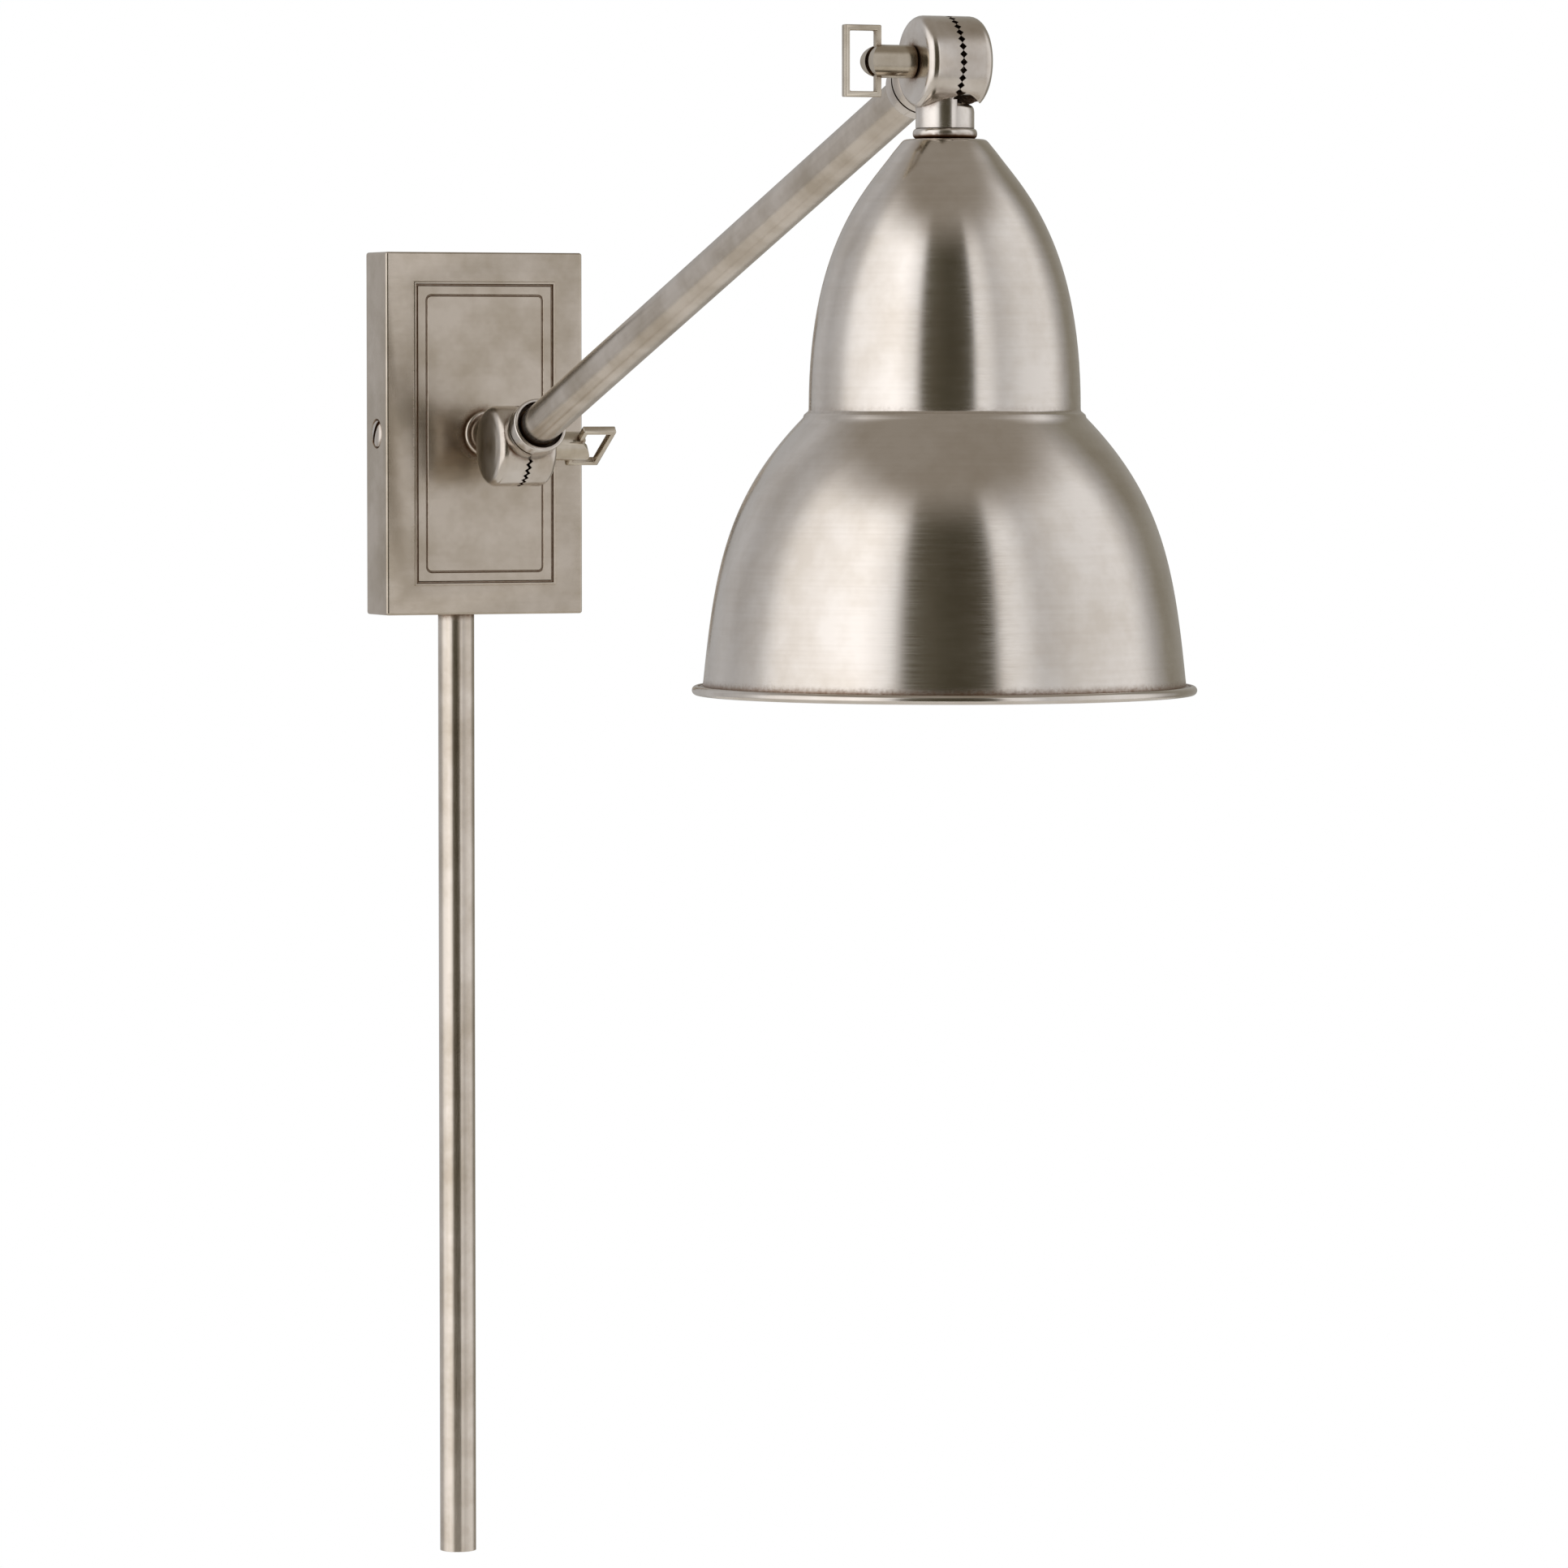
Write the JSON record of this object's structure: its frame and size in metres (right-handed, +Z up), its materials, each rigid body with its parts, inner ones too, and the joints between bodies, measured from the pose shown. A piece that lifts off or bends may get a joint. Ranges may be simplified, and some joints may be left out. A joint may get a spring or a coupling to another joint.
{
  "type": "swing-arm wall lamp",
  "caption": "Wall lamp with a rectangular plate, a long round arm between toothed clutch knuckles with thumb keys, a stepped metal shade and a straight cord cover.",
  "frame": {"origin": "centre of the two wall box screw holes, on the wall plane, which is also the centre of the wall plate", "axes": "+Z up, +X to the right seen from the room, -Y out from the wall into the room"},
  "size_m": [0.1838, 0.5873, 0.6277],
  "materials": {
    "wall_plate": "brushed antique nickel plate, lacquered",
    "wall_bracket": "bright zinc plate",
    "cover_screws": "brushed antique nickel plate, lacquered",
    "wall_knuckle": "brushed antique nickel plate, lacquered",
    "neck_ring": "brushed antique nickel plate, lacquered",
    "neck_washer": "bright zinc plate",
    "neck_nut": "bright zinc plate",
    "cord_cover": "brushed antique nickel plate, lacquered",
    "cover_clips": "bright zinc plate",
    "supply_wires": "insulation, satin",
    "wire_connectors": "moulded",
    "earth_screw": "green passivated",
    "earth_wire": "bare stranded copper",
    "arm_knuckle": "brushed antique nickel plate, lacquered",
    "base_retainer": "bright zinc plate",
    "lower_key_washer": "bright zinc plate",
    "lower_key_shank": "brushed antique nickel plate, lacquered",
    "lower_key_loop": "brushed antique nickel plate, lacquered",
    "arm_tube": "brushed antique nickel plate, lacquered",
    "base_spigot": "plain brass",
    "head_spigot": "plain brass",
    "stop_pins": "bright zinc plate",
    "arm_wires": "insulation, satin",
    "head_knuckle": "brushed antique nickel plate, lacquered",
    "head_retainer": "bright zinc plate",
    "upper_key_shank": "brushed antique nickel plate, lacquered",
    "upper_key_loop": "brushed antique nickel plate, lacquered",
    "shade_knuckle": "brushed antique nickel plate, lacquered",
    "upper_key_washer": "bright zinc plate",
    "shade_ring": "brushed antique nickel plate, lacquered",
    "shade_upper": "brushed antique nickel plate, lacquered",
    "shade_lower": "brushed antique nickel plate, lacquered",
    "shade_nipple": "plain brass",
    "nipple_washer": "bright zinc plate",
    "nipple_nut": "plain brass",
    "holder_shell": "plain brass",
    "holder_insulator": "unglazed",
    "holder_sleeve": "plain brass",
    "holder_contact": "plain brass",
    "shade_wires": "insulation, satin",
    "bulb_cap": "bare",
    "bulb_insulator": "black glass bead",
    "bulb_tip": "bright zinc plate",
    "bulb_glass": "clear",
    "bulb_stem": "clear",
    "bulb_filaments": "coated LED filament"
  },
  "bodies": {
    "wall": {"wall_plate": "wall_plate", "wall_bracket": "wall_bracket", "cover_screws": "cover_screws", "wall_knuckle": "wall_knuckle", "neck_ring": "neck_ring", "neck_washer": "neck_washer", "neck_nut": "neck_nut", "cord_cover": "cord_cover", "cover_clips": "cover_clips", "supply_wires": "supply_wires", "wire_connectors": "wire_connectors", "earth_screw": "earth_screw", "earth_wire": "earth_wire"},
    "arm_base": {"arm_knuckle": "arm_knuckle", "base_retainer": "base_retainer", "lower_key_washer": "lower_key_washer"},
    "lower_key": {"lower_key_shank": "lower_key_shank", "lower_key_loop": "lower_key_loop"},
    "arm": {"arm_tube": "arm_tube", "base_spigot": "base_spigot", "head_spigot": "head_spigot", "stop_pins": "stop_pins", "arm_wires": "arm_wires"},
    "head_base": {"head_knuckle": "head_knuckle", "head_retainer": "head_retainer"},
    "upper_key": {"upper_key_shank": "upper_key_shank", "upper_key_loop": "upper_key_loop"},
    "shade_head": {"shade_knuckle": "shade_knuckle", "upper_key_washer": "upper_key_washer", "shade_ring": "shade_ring", "shade_upper": "shade_upper", "shade_lower": "shade_lower", "shade_nipple": "shade_nipple", "nipple_washer": "nipple_washer", "nipple_nut": "nipple_nut", "holder_shell": "holder_shell", "holder_insulator": "holder_insulator", "holder_sleeve": "holder_sleeve", "holder_contact": "holder_contact", "shade_wires": "shade_wires", "bulb_cap": "bulb_cap", "bulb_insulator": "bulb_insulator", "bulb_tip": "bulb_tip", "bulb_glass": "bulb_glass", "bulb_stem": "bulb_stem", "bulb_filaments": "bulb_filaments"}
  },
  "joints": [
    {"name": "arm_tilt", "type": "hinge", "parent": "wall", "child": "arm_base", "pos_m": [0, -0.061, -0.005], "axis": [1, 0, 0], "range_deg": [-55, 65]},
    {"name": "arm_swivel", "type": "hinge", "parent": "arm_base", "child": "arm", "pos_m": [0, -0.08296, 0.00218], "axis": [0, -0.9505, 0.3107], "range_deg": [-135, 135]},
    {"name": "head_swivel", "type": "hinge", "parent": "arm", "child": "head_base", "pos_m": [0, -0.47343, 0.1298], "axis": [0, -0.9505, 0.3107], "range_deg": [-135, 135]},
    {"name": "shade_tilt", "type": "hinge", "parent": "head_base", "child": "shade_head", "pos_m": [0, -0.49539, 0.13698], "axis": [1, 0, 0], "range_deg": [-100, 4]},
    {"name": "lower_key_turn", "type": "hinge", "parent": "wall", "child": "lower_key", "pos_m": [0, -0.061, -0.005], "axis": [1, 0, 0], "range_deg": [-270, 45]},
    {"name": "upper_key_turn", "type": "hinge", "parent": "head_base", "child": "upper_key", "pos_m": [0, -0.49539, 0.13698], "axis": [-1, 0, 0], "range_deg": [-270, 45]}
  ]
}
